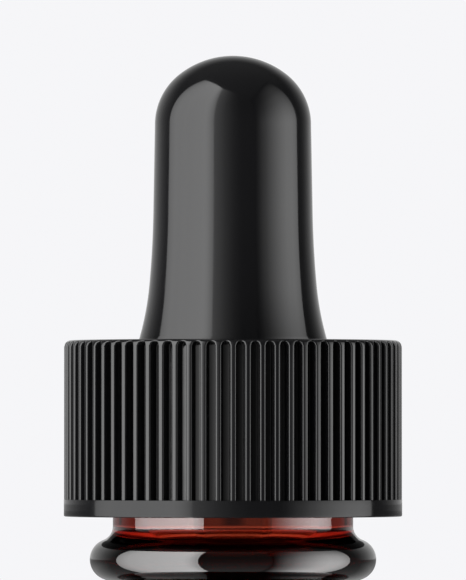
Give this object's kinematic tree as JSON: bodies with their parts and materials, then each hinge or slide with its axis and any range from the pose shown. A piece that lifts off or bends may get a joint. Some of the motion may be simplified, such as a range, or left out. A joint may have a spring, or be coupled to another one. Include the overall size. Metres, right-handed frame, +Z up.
{
  "type": "dropper bottle",
  "caption": "Amber glass dropper bottle with a screw neck, closed by a ribbed plastic cap that carries a rubber bulb and a glass pipette.",
  "frame": {"origin": "middle of the base, on the surface that the bottle stands on", "axes": "+Z up along the axis of the bottle, neck, cap, pipette and bulb; the bottle's thread starts on +X"},
  "size_m": [0.0332, 0.0332, 0.1013],
  "materials": {
    "amber_glass": "polished amber glass, dark red-brown where it is thick",
    "cap_plastic": "semi-gloss moulded black",
    "bulb_rubber": "smooth glossy black",
    "clear_glass": "clear drawn tube",
    "washer_plastic": "soft translucent white"
  },
  "bodies": {
    "bottle": {"bottle": "amber_glass"},
    "dropper": {"pipette": "clear_glass", "sealing_washer": "washer_plastic"},
    "cap": {"screw_cap": "cap_plastic"},
    "bulb": {"bulb": "bulb_rubber"}
  },
  "joints": [
    {"name": "dropper_lift", "type": "slide", "parent": "bottle", "child": "dropper", "axis": [0, 0, 1], "range_m": [0, 0.072]},
    {"name": "cap_turn", "type": "hinge", "parent": "dropper", "child": "cap", "pos_m": [0, 0, 0.0764], "axis": [0, 0, 1], "range_deg": [0, 8640]},
    {"name": "bulb_press", "type": "slide", "parent": "dropper", "child": "bulb", "axis": [0, 0, -1], "range_m": [0, 0.003], "stiffness_N_per_m": 1500, "deforming": ["bulb"]}
  ],
  "couplings": [
    {"joint": "cap_turn", "follows": "dropper_lift", "rad_per_m": 2094.4}
  ]
}
